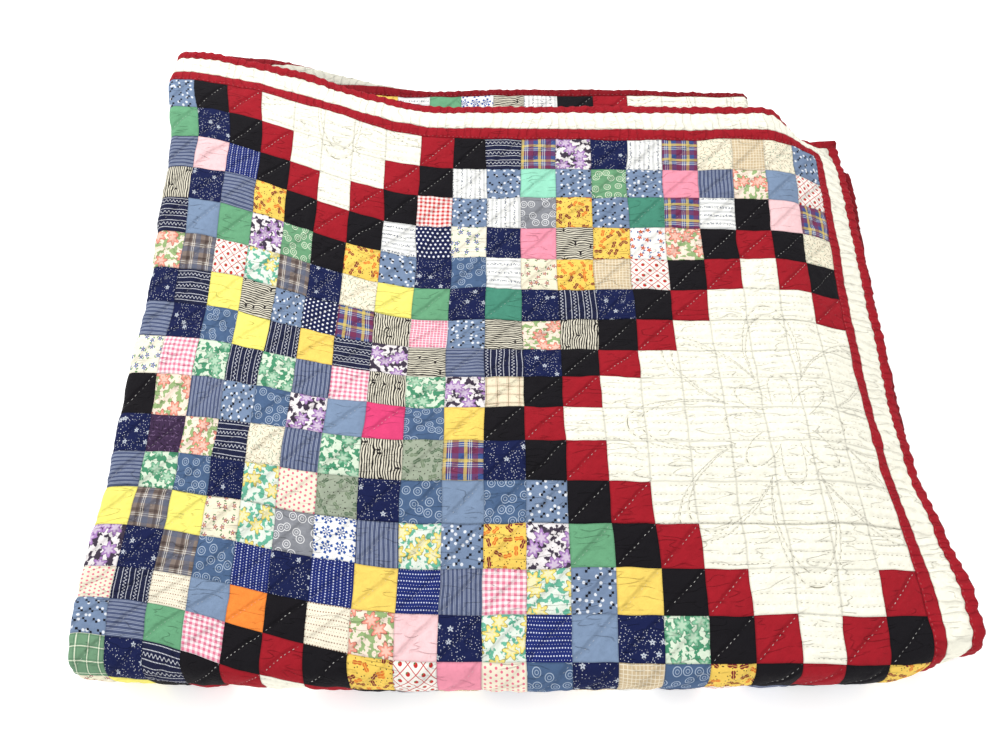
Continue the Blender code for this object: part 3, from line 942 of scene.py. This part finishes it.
# squares whose cloth was chosen: name, then each (row, column)
ACCENTS = (
    ("butter", (5, 12), (6, 17), (7, 16), (12, 17), (12, 19)),
    ("golden", (7, 14), (9, 10), (13, 6), (13, 12)),
    ("orange", (14, 15)),
    ("hot_pink", (9, 12)),
    ("pink", (1, 4), (3, 8)),
    ("light_pink", (2, 1), (14, 11)),
    ("aqua", (1, 8)),
    ("pine_green", (2, 5)),
    ("leaf_green", (4, 17), (12, 7)),
    ("slate", (1, 1), (9, 13)),
    ("slate_pairs", (0, 0), (1, 5), (1, 7), (1, 9)),
    ("slate_rings", (7, 17), (9, 11), (9, 15)),
    ("tan_check", (0, 2)),
    ("cream_flecks", (0, 1), (0, 3), (3, 0), (10, 15)),
    ("red_lattice", (1, 0), (4, 5)),
    ("bright_plaid", (0, 4), (2, 0), (2, 4)),
    ("ruled_white", (0, 5), (1, 10), (2, 3)),
    ("denim_lines", (1, 3), (8, 14), (9, 17), (10, 14)),
    ("navy_ladders", (7, 13), (7, 15), (6, 18), (10, 16)),
    ("navy_polka", (6, 14)),
    ("wood_grain", (6, 12), (6, 16), (8, 12), (10, 12)),
    ("pink_gingham", (8, 13)),
    ("peach_florals", (1, 2), (9, 18), (10, 17)),
    ("golden_leaves", (2, 7), (3, 6), (3, 16), (4, 13), (12, 9), (15, 0), (15, 4), (15, 12)),
    ("purple_petals", (7, 12), (9, 14)),
    ("green_petals", (8, 11), (8, 15), (8, 17), (11, 18)),
    ("teal_roses", (12, 11), (12, 15)),
    ("royal_beads", (13, 11), (13, 13), (13, 15)),
    ("blue_wheels", (12, 13)),
    ("brown_plaid", (5, 15), (12, 18), (13, 17)),
    ("cream_rows", (14, 13), (14, 17)),
)


def stitches(loom, line, run, half_width=0.22):
    """Dashes along a sewn line: line is the distance from it and run the way along it, in millimetres."""
    dash = (run / (STITCH * 1000.0)).part().under(STITCH_SHARE, 0.06)
    return abs(line).under(half_width, 0.16) * dash


def finish_cloth(loom, colour, thread, quilting, fade, strength=1.0):
    """Adds what all the cloths share: weave, painted seam shade, painted shade of crinkles, creases and
    quilted grooves, hand stitches, wear, roughness and bump.
    """
    x, y = loom.uv("Print")
    across_square, down_square = loom.uv("Square")
    square = CELL_U * 1000.0
    away_x = 0.5 - abs(across_square - 0.5)
    away_y = 0.5 - abs(down_square - 0.5)
    seam = loom.math("MINIMUM", away_x, away_y) * square
    # painted shade: each square is darkened toward its seams, where the puffed cloth dips
    colour = loom.shade(colour, loom.ramp(seam, -0.6, 1.9) * 0.36 + 0.64)
    threads = (x * WEAVE).do("SINE") * (y * WEAVE).do("SINE")
    mottle = loom.noise(x, y, 0.35, 3.0)
    slub = loom.noise(x * 0.4, y * 6.0, 3.0, 1.0)
    colour = loom.shade(colour, mottle * fade + slub * 0.06 + threads * 0.025 + (0.97 - fade * 0.5))
    sewn = None
    if quilting == "diagonal":
        half = square / math.sqrt(2.0)
        line = (across_square - down_square) * half
        run = (across_square + down_square) * half
        line = line + (loom.noise(x, y, 0.7) - 0.5) * 2.4
        kept = loom.noise(x, y, 1.1).over(0.47, 0.12) * strength
        sewn = stitches(loom, line, run) * loom.ramp(seam, 0.3, 1.4) * kept
        groove = abs(line).under(2.2, 1.6)
    elif quilting == "medallion":
        du, dv = loom.uv("Medallion")
        du = du + (loom.noise(x, y, 0.5) - 0.5) * 2.6
        radius = loom.length(du, dv)
        angle = loom.math("ARCTAN2", dv, du)
        leaf = abs((angle * (PETALS / 2.0)).cosine()) * (1.0 - PETAL_IN) + PETAL_IN
        pitch = LINE_PITCH * 1000.0
        rows = pitch / 2.0 - abs((dv + (loom.noise(x, y, 0.25) - 0.5) * 5.0).centred(pitch))
        shown = loom.noise(x, y, 0.7, 1.0).over(0.44, 0.12)
        sewn = stitches(loom, rows, du) * (shown * 0.65 + 0.15)
        groove = abs(rows).under(1.6, 1.2) * shown * 0.45
        for outline in PETAL_OUTLINES:
            line = (radius / leaf - outline * 1000.0) * leaf
            sewn = sewn.larger(stitches(loom, line, radius, 0.42))
            groove = groove.larger(abs(line).under(1.8, 1.4) * 0.7)
    elif quilting == "strip":
        line = (across_square - 0.5) * 12.0 - 4.6
        run = down_square * 1000.0
        sewn = stitches(loom, line, run) * 0.10
        pucker = run / (PUCKER * 1000.0) + loom.noise(x, y, 0.3) * 2.0
        groove = abs(pucker.part() - 0.5).under(0.10, 0.09) * loom.noise(x, y, 0.8).over(0.40, 0.15)
    crinkle_relief_and_shade = loom.noise(x + y * 0.5, y - x * 0.5, 1.5, 4.0)
    # painted shade: the crinkle noise that raises the bump also darkens and lightens the colour, as light
    # would on the puckers
    colour = loom.shade(colour, crinkle_relief_and_shade * 0.24 + 0.88)
    if quilting == "strip":
        lie_x, lie_y = x, y
    else:
        lie_x, lie_y = loom.uv("Medallion")
        lie_x, lie_y = lie_x * 0.1, lie_y * 0.1
    fold = loom.noise(lie_x * 0.28 + lie_y * 0.20, lie_y * 1.15 - lie_x * 0.12, 0.8, 1.2)
    fold = abs(fold - 0.5).under(0.007, 0.014) * loom.noise(lie_x, lie_y, 0.6).over(0.50, 0.09)
    # painted shade: the cloth is darkened along the crease lines, which are also sunk in the bump below
    colour = loom.shade(colour, 1.0 - fold * CREASE_SHADE)
    height = threads * 0.03 + slub * 0.06 + crinkle_relief_and_shade * 1.1 - fold * 0.8
    if sewn is not None:
        # painted shade: darker in the quilted grooves and at the strip's pucker valleys, which the bump
        # also sinks
        colour = loom.shade(colour, 1.0 - groove * 0.10)
        colour = loom.mix(sewn, colour, thread)
        height = height + sewn * 0.5 - groove * 0.7
    bump = loom.node("Bump", BUMP_STRENGTH, BUMP_HEIGHT)
    loom.put(bump.inputs["Height"], height)
    loom.put(loom.shader.inputs["Normal"], Wire(loom, bump.outputs[0]))
    loom.put(loom.shader.inputs["Base Color"], colour)
    loom.put(loom.shader.inputs["Roughness"], mottle * 0.14 + ROUGHNESS)
    loom.shader.inputs["Specular IOR Level"].default_value = GLOSS
    return loom.material


def cloth_materials(colours):
    """Every cloth of the quilt, by name."""
    thread = (*colours.thread, 1.0)
    made = {}
    for name, _, draw_print, *tints in SCRAPS:
        loom = Loom("cloth_" + name)
        colour = draw_print(loom, *loom.uv("Print"), *(srgb(*tint) for tint in tints))
        made[name] = finish_cloth(loom, colour, thread, "diagonal", SCRAP_FADE, SCRAP_THREAD)
    plain = (
        ("cream", colours.cream, "medallion", 0.05),
        ("red", colours.red, "diagonal", 0.20),
        ("black", colours.black, "diagonal", 0.20),
        ("red_strip", colours.red, "strip", 0.20),
        ("cream_strip", colours.cream, "strip", 0.05),
        ("backing", colours.cream, "none", 0.08),
    )
    for name, ground, quilting, fade in plain:
        loom = Loom("cloth_" + name)
        ground = (*ground, 1.0)
        # painted shade: on pale cloth the white thread gets the darker SHADED_THREAD colour, standing for
        # the shade in its stitch dents
        thread_here = srgb(*SHADED_THREAD) if ground[2] > PALE_FROM else thread
        colour = loom.mix(loom.noise(*loom.uv("Print"), 0.5, 3.0), ground, loom.shade(ground, 0.92))
        made[name] = finish_cloth(loom, colour, thread_here, quilting, fade, PLAIN_THREAD)
    return made


# ---- building a piece of cloth
def spaced(start, end, count):
    """Places from start up to, and not with, end."""
    return [start + (end - start) * index / count for index in range(count)]


def stations(length, cell, count, fine_cells):
    """Every place along one side of the flat quilt where the cloth has a row of points."""
    ring = [*BINDING_STEPS, *spaced(BINDING, BINDING + BORDER, 12), *spaced(BINDING + BORDER, EDGE, 7)]
    places = list(ring)
    for index in range(count):
        number = FINE if index < fine_cells else COARSE
        places.extend(spaced(EDGE + cell * index, EDGE + cell * (index + 1), number))
    places.append(length - EDGE)
    places.extend(length - place for place in reversed(ring))
    return np.array(places)


def all_stations():
    """The stations across and along the whole quilt."""
    across_quilt = stations(FLAT_WIDTH, CELL_U, COLUMNS, FINE_COLUMNS)
    return across_quilt, stations(FLAT_LENGTH, CELL_V, ROWS, FINE_ROWS)


def between(places, start, end):
    """The stations from start to end, with both ends."""
    return places[(places > start - 1e-6) & (places < end + 1e-6)]


def quads(grid):
    """The four-sided faces of a grid of points."""
    corners = (grid[:-1, :-1], grid[1:, :-1], grid[1:, 1:], grid[:-1, 1:])
    return np.stack(corners, axis=2).reshape(-1, 4).tolist()


def closed_cloth(name, u_places, v_places, sizes, shift):
    """A closed piece of cloth, fine on top and coarse underneath: mesh, and each corner's place."""
    upper, lower = sewn_surface(u_places, v_places, sizes)
    count_u, count_v = len(u_places), len(v_places)
    pick_u = sorted(set(range(0, count_u, UNDERSIDE_EVERY)) | {count_u - 1})
    pick_v = sorted(set(range(0, count_v, UNDERSIDE_EVERY)) | {count_v - 1})
    points = np.concatenate((upper.reshape(-1, 3), lower[np.ix_(pick_u, pick_v)].reshape(-1, 3))) + shift
    points[:, 2] = np.maximum(points[:, 2], 0.0)
    flat_u = np.concatenate((np.repeat(u_places, count_v), np.repeat(u_places[pick_u], len(pick_v))))
    flat_v = np.concatenate((np.tile(v_places, count_u), np.tile(v_places[pick_v], len(pick_u))))

    top = np.arange(count_u * count_v).reshape(count_u, count_v)
    under = np.arange(len(pick_u) * len(pick_v)).reshape(len(pick_u), len(pick_v)) + count_u * count_v
    faces = quads(top)
    top_faces = len(faces)
    faces += quads(under.T)
    under_faces = len(faces)
    for a, b, low_a, low_b in zip(pick_u, pick_u[1:], under, under[1:]):
        faces.append([low_a[0], low_b[0], *top[a:b + 1, 0][::-1]])
        faces.append([low_b[-1], low_a[-1], *top[a:b + 1, -1]])
    for index, (a, b) in enumerate(zip(pick_v, pick_v[1:])):
        faces.append([under[0, index + 1], under[0, index], *top[0, a:b + 1]])
        faces.append([under[-1, index], under[-1, index + 1], *top[-1, a:b + 1][::-1]])
    mesh = bpy.data.meshes.new(name)
    mesh.from_pydata(points.tolist(), [], faces)
    mesh.polygons.foreach_set("use_smooth", [True] * len(faces))
    loop_vertex = np.empty(len(mesh.loops), dtype=np.int32)
    mesh.loops.foreach_get("vertex_index", loop_vertex)
    totals = np.empty(len(faces), dtype=np.int32)
    mesh.polygons.foreach_get("loop_total", totals)
    loop_face = np.repeat(np.arange(len(faces)), totals)
    middle_u = np.bincount(loop_face, flat_u[loop_vertex]) / totals
    middle_v = np.bincount(loop_face, flat_v[loop_vertex]) / totals
    side = np.searchsorted((top_faces, under_faces), np.arange(len(faces)), side="right")
    return mesh, loop_face, flat_u[loop_vertex], flat_v[loop_vertex], middle_u, middle_v, side


def write_uv(mesh, name, x, y):
    layer = mesh.uv_layers.new(name=name)
    layer.data.foreach_set("uv", np.column_stack((x, y)).astype(np.float32).ravel())


def bake_layout(mesh, loop_face, u, v, middle_u, middle_v, side):
    """A map that covers the piece once: its length cut into rows, and the underside along the bottom."""
    if np.ptp(u) < np.ptp(v):
        u, v, middle_u = v, u, middle_v
    run = (u - u.min()) / np.ptp(u)
    run_mid = (middle_u - u.min()) / np.ptp(u)
    over = (v - v.min()) / np.ptp(v)
    count = max(1, round(math.sqrt(np.ptp(u) / np.ptp(v))))
    part = np.clip(np.floor(run_mid * count), 0, count - 1)[loop_face]
    top_x = 0.004 + 0.992 * (run * count - part)
    top_y = 0.07 + 0.925 * (part + 0.03 + 0.94 * over) / count
    under_x = 0.004 + 0.992 * run
    under_y = 0.004 + 0.045 * over
    wall_y = 0.055 + 0.008 * over
    side = side[loop_face]
    x = np.where(side == 0, top_x, under_x)
    y = np.where(side == 0, top_y, np.where(side == 1, under_y, wall_y))
    write_uv(mesh, "OFBake", np.clip(x, 0.0, 1.0), np.clip(y, 0.0, 1.0))


def dress(mesh, cloths, materials):
    """Gives each face its cloth."""
    names = sorted(set(cloths.tolist()))
    for name in names:
        mesh.materials.append(materials[name])
    numbers = {name: index for index, name in enumerate(names)}
    mesh.polygons.foreach_set("material_index", [numbers[name] for name in cloths.tolist()])
    mesh.update()


def place_piece(name, mesh, node):
    """Puts a finished piece into the frame."""
    piece = bpy.data.objects.new(name, mesh)
    bpy.context.scene.collection.objects.link(piece)
    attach(piece, "root")
    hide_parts(node)
    node + "_cloth"


def frame_shift():
    """From the fold functions' own place to the shared frame."""
    u_places = np.linspace(0.0, FLAT_WIDTH, 400)
    v_places = np.linspace(0.0, FLAT_LENGTH, 300)
    middle = folded(u_places, v_places)
    low = np.array([middle[:, :, axis].min() for axis in range(3)]) - CLOTH / 2.0
    high = np.array([middle[:, :, axis].max() for axis in range(3)]) + CLOTH / 2.0
    centre = (np.array(CAD_BOX[0]) + np.array(CAD_BOX[1])) / 2.0 - (low + high) / 2.0
    return np.array((centre[0], centre[1], CAD_BOX[0][2] - low[2]))


# ---- settings
class QuiltSizes(bpy.types.PropertyGroup):
    puff: FloatProperty(
        name="Puff", description="How high the wadding lifts each square",
        default=0.0011, min=0.0, max=0.004, unit="LENGTH",
    )
    groove: FloatProperty(
        name="Groove", description="Share of the puff that a quilted line takes away",
        default=0.85, min=0.0, max=1.0,
    )
    rumple: FloatProperty(
        name="Rumple", description="Height of the soft unevenness of a washed quilt",
        default=0.0009, min=0.0, max=0.004, unit="LENGTH",
    )
    creep: FloatProperty(
        name="Seam wander", description="How far hand-sewn seams stray from straight",
        default=0.0016, min=0.0, max=0.005, unit="LENGTH",
    )


def cotton(name, description, red, green, blue):
    """A colour setting."""
    return FloatVectorProperty(
        name=name, description=description, default=srgb(red, green, blue)[:3],
        subtype="COLOR", size=3, min=0.0, max=1.0,
    )


class QuiltColours(bpy.types.PropertyGroup):
    red: cotton("Red", "Red cotton of the strips and diamonds", 160, 28, 40)
    black: cotton("Black", "Black cotton round the diamonds", 24, 22, 26)
    cream: cotton("Cream", "Cream cotton of the diamonds and border", 252, 249, 232)
    thread: cotton("Thread", "Quilting thread", 232, 230, 224)


class StageSettings(bpy.types.PropertyGroup):
    lens: FloatProperty(
        name="Lens", description="Focal length of the camera, in millimetres",
        default=30.38, min=10.0, max=200.0,
    )
    light: FloatProperty(
        name="Light", description="Power of the large soft light, in watts",
        default=34.0, min=0.0, max=1000.0,
    )
    surround: FloatProperty(
        name="Surround", description="Brightness of the white surroundings",
        default=0.98, min=0.0, max=5.0,
    )


# ---- operators
class QUILT_OT_patchwork(bpy.types.Operator):
    """Build the pieced squares, as six lengths of the one folded cloth"""

    bl_idname = "quilt.patchwork"
    bl_label = "Build the patchwork"

    def execute(self, context):
        sizes = context.scene.quilt_sizes
        materials = cloth_materials(context.scene.quilt_colours)
        chart = np.array(choose_cloths())
        draw = np.random.default_rng(SCRAP_SEED + 1)
        offset_x = draw.uniform(0.0, 60.0, chart.shape)
        offset_y = draw.uniform(0.0, 60.0, chart.shape)
        turned = draw.random(chart.shape) < 0.5
        shift = frame_shift()
        all_u, all_v = all_stations()
        for name, first_column, last_column, first_row, last_row in FIELD_PIECES:
            ends_u = (EDGE + CELL_U * first_column, EDGE + CELL_U * last_column)
            ends_v = (EDGE + CELL_V * first_row, EDGE + CELL_V * last_row)
            made = closed_cloth(name, between(all_u, *ends_u), between(all_v, *ends_v), sizes, shift)
            mesh, loop_face, u, v, middle_u, middle_v, side = made
            row, column = square_of(middle_u, middle_v)
            cloths = np.where(side == 1, "backing", chart[row, column])
            row, column = row[loop_face], column[loop_face]
            x = -u * 100.0
            y = -v * 100.0
            swap = turned[row, column]
            x, y = np.where(swap, y, x), np.where(swap, -x, y)
            write_uv(mesh, "Print", x + offset_x[row, column], y + offset_y[row, column])
            write_uv(mesh, "Square", (u - EDGE) / CELL_U - column, (v - EDGE) / CELL_V - row)
            du, dv = from_diamond(u, v, row, column)
            write_uv(mesh, "Medallion", du * 1000.0, dv * 1000.0)
            bake_layout(mesh, loop_face, u, v, middle_u, middle_v, side)
            place_piece(name, mesh, "patchwork_field")
            dress(mesh, cloths, materials)
        return {"FINISHED"}


class QUILT_OT_strips(bpy.types.Operator):
    """Build the binding, the cream border and the inner strip round all four sides"""

    bl_idname = "quilt.strips"
    bl_label = "Build the border strips"

    def execute(self, context):
        sizes = context.scene.quilt_sizes
        shift = frame_shift()
        all_u, all_v = all_stations()
        for ring, outer, inner in RINGS:
            cloth = bpy.data.materials["cloth_cream_strip" if ring == "border" else "cloth_red_strip"]
            sides = (
                ("top", outer, FLAT_WIDTH - outer, outer, inner),
                ("bottom", outer, FLAT_WIDTH - outer, FLAT_LENGTH - inner, FLAT_LENGTH - outer),
                ("right", outer, inner, inner, FLAT_LENGTH - inner),
                ("left", FLAT_WIDTH - inner, FLAT_WIDTH - outer, inner, FLAT_LENGTH - inner),
            )
            for side_name, from_u, to_u, from_v, to_v in sides:
                node = ring + "_" + side_name
                u_places = between(all_u, from_u, to_u)
                v_places = between(all_v, from_v, to_v)
                made = closed_cloth(node + "_cloth", u_places, v_places, sizes, shift)
                mesh, loop_face, u, v, middle_u, middle_v, side = made
                lying = side_name in ("top", "bottom")
                over = (v - from_v) / (to_v - from_v) if lying else (u - from_u) / (to_u - from_u)
                write_uv(mesh, "Print", -u * 100.0 + 7.0 * outer, -v * 100.0)
                write_uv(mesh, "Square", over, u if lying else v)
                bake_layout(mesh, loop_face, u, v, middle_u, middle_v, side)
                mesh.materials.append(cloth)
                mesh.update()
                place_piece(node + "_strip", mesh, node)
        return {"FINISHED"}


class QUILT_OT_stage(bpy.types.Operator):
    """Make the pale floor, the soft light, the surroundings and the camera"""

    bl_idname = "quilt.stage"
    bl_label = "Build the stage"

    def execute(self, context):
        settings = context.scene.quilt_stage
        scene = context.scene
        mesh = bpy.data.meshes.new("floor")
        corners = ((-1, -1), (1, -1), (1, 1), (-1, 1))
        mesh.from_pydata([(a * FLOOR_HALF, b * FLOOR_HALF, 0.0) for a, b in corners], [], [(0, 1, 2, 3)])
        floor = bpy.data.objects.new("floor", mesh)
        floor.location.z = CAD_BOX[0][2] - FLOOR_GAP
        scene.collection.objects.link(floor)
        paper = bpy.data.materials.new("floor_paper")
        paper.use_nodes = True
        shader = paper.node_tree.nodes["Principled BSDF"]
        shader.inputs["Base Color"].default_value = (0.94, 0.94, 0.94, 1.0)
        shader.inputs["Roughness"].default_value = 0.9
        shader.inputs["Emission Color"].default_value = (1.0, 1.0, 1.0, 1.0)
        shader.inputs["Emission Strength"].default_value = 0.35
        mesh.materials.append(paper)

        world = bpy.data.worlds.new("surroundings")
        world.use_nodes = True
        background = world.node_tree.nodes["Background"]
        background.inputs[0].default_value = (1.0, 1.0, 1.0, 1.0)
        background.inputs[1].default_value = settings.surround
        scene.world = world
        lamp = bpy.data.lights.new("soft_light", "AREA")
        lamp.shape = "DISK"
        lamp.size = 1.6
        lamp.energy = settings.light
        soft = bpy.data.objects.new("soft_light", lamp)
        soft.location = LIGHT_PLACE
        soft.rotation_euler = (-Vector(LIGHT_PLACE)).to_track_quat("-Z", "Y").to_euler()
        scene.collection.objects.link(soft)

        camera_data = bpy.data.cameras.new("camera")
        camera_data.lens = settings.lens
        camera_data.sensor_width = 36.0
        camera = bpy.data.objects.new("camera", camera_data)
        camera.location = Vector(CAMERA_PLACE) + Vector(frame_shift())
        camera.rotation_euler = (math.radians(90.0 - CAMERA_DOWN), 0.0, 0.0)
        scene.collection.objects.link(camera)
        scene.camera = camera
        scene.view_settings.view_transform = "Standard"
        return {"FINISHED"}


class QUILT_PT_panel(bpy.types.Panel):
    """Sizes, colours and build steps of the quilt"""

    bl_idname = "QUILT_PT_panel"
    bl_label = "Folded quilt"
    bl_space_type = "VIEW_3D"
    bl_region_type = "UI"
    bl_category = "Quilt"

    def draw(self, context):
        for group in (context.scene.quilt_sizes, context.scene.quilt_colours, context.scene.quilt_stage):
            box = self.layout.box()
            for name in group.bl_rna.properties.keys():
                if name not in ("rna_type", "name"):
                    box.prop(group, name)
        for step in (QUILT_OT_patchwork, QUILT_OT_strips, QUILT_OT_stage):
            self.layout.operator(step.bl_idname)


CLASSES = (
    QuiltSizes, QuiltColours, StageSettings,
    QUILT_OT_patchwork, QUILT_OT_strips, QUILT_OT_stage, QUILT_PT_panel,
)


def register():
    for kind in CLASSES:
        bpy.utils.register_class(kind)
    bpy.types.Scene.quilt_sizes = PointerProperty(type=QuiltSizes)
    bpy.types.Scene.quilt_colours = PointerProperty(type=QuiltColours)
    bpy.types.Scene.quilt_stage = PointerProperty(type=StageSettings)


def unregister():
    del bpy.types.Scene.quilt_stage
    del bpy.types.Scene.quilt_colours
    del bpy.types.Scene.quilt_sizes
    for kind in reversed(CLASSES):
        bpy.utils.unregister_class(kind)


def main():
    """Build everything in order."""
    register()
    bpy.ops.quilt.patchwork()
    bpy.ops.quilt.strips()
    bpy.ops.quilt.stage()


if __name__ == "__main__":
    main()
